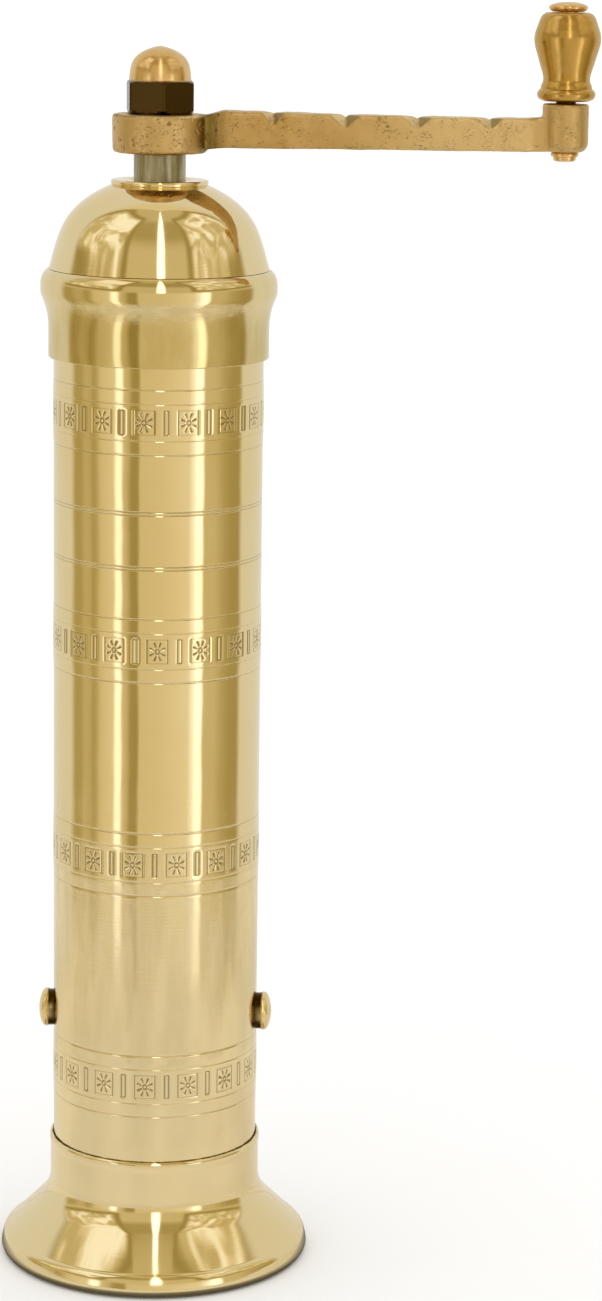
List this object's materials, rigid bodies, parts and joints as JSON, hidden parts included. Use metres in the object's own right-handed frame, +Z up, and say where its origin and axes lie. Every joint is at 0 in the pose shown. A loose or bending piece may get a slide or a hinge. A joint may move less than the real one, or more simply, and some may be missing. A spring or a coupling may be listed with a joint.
{
  "type": "pepper mill",
  "caption": "Hand pepper mill: round brass body on a flared foot, domed lid, side crank with a turned knob, and a cone burr set by a screw underneath.",
  "frame": {"origin": "on the mill's axis, at the level of the table the foot stands on", "axes": "+Z up along the mill's axis, +X along the crank arm towards the knob, -Y the front"},
  "size_m": [0.1185, 0.0638, 0.258],
  "materials": {
    "polished_brass": "polished",
    "cast_brass": "satin, cast and filed",
    "turned_brass": "turned, lightly brushed",
    "shaft_steel": "drawn, slightly dulled",
    "burr_steel": "hardened, dark",
    "bright_steel": "bright"
  },
  "bodies": {
    "mill_body": {"body_tube": "polished_brass", "foot": "polished_brass", "side_screw_right": "turned_brass", "side_screw_left": "turned_brass", "guide_spider": "burr_steel", "burr_ring": "burr_steel", "bearing_bridge": "burr_steel", "tie_screw_front": "bright_steel", "tie_screw_back": "bright_steel", "lock_nut": "bright_steel"},
    "thrust": {"thrust_ball": "bright_steel", "pressure_spring": "bright_steel"},
    "adjuster": {"adjusting_screw": "turned_brass"},
    "drive": {"main_shaft": "shaft_steel", "inner_burr": "burr_steel", "burr_nut": "bright_steel", "spring_seat": "bright_steel"},
    "lid": {"lid_ring": "polished_brass", "lid_dome": "polished_brass", "lid_bush": "polished_brass"},
    "crank": {"crank_arm": "cast_brass", "knob_pin": "turned_brass"},
    "cap_nut": {"acorn_nut": "turned_brass"},
    "knob": {"crank_knob": "turned_brass"}
  },
  "joints": [
    {"name": "grind_adjust", "type": "slide", "parent": "mill_body", "child": "thrust", "axis": [0, 0, 1], "range_m": [-0.0015, 0.001], "deforming": ["pressure_spring"]},
    {"name": "adjuster_turn", "type": "hinge", "parent": "thrust", "child": "adjuster", "pos_m": [0, 0, 0], "axis": [0, 0, 1], "range_deg": [-540, 360]},
    {"name": "crank_turn", "type": "hinge", "parent": "thrust", "child": "drive", "pos_m": [0, 0, 0], "axis": [0, 0, 1], "continuous": true},
    {"name": "lid_lift", "type": "slide", "parent": "mill_body", "child": "lid", "axis": [0, 0, 1], "range_m": [0, 0.068]},
    {"name": "crank_lift", "type": "slide", "parent": "drive", "child": "crank", "axis": [0, 0, 1], "range_m": [0, 0.136]},
    {"name": "nut_lift", "type": "slide", "parent": "drive", "child": "cap_nut", "axis": [0, 0, 1], "range_m": [0, 0.17]},
    {"name": "knob_spin", "type": "hinge", "parent": "crank", "child": "knob", "pos_m": [0.08, 0, 0.245], "axis": [0, 0, 1], "continuous": true}
  ],
  "couplings": [
    {"joint": "adjuster_turn", "follows": "grind_adjust", "rad_per_m": 6283.2},
    {"joint": "crank_lift", "follows": "lid_lift", "ratio": 2},
    {"joint": "nut_lift", "follows": "lid_lift", "ratio": 2.5}
  ]
}
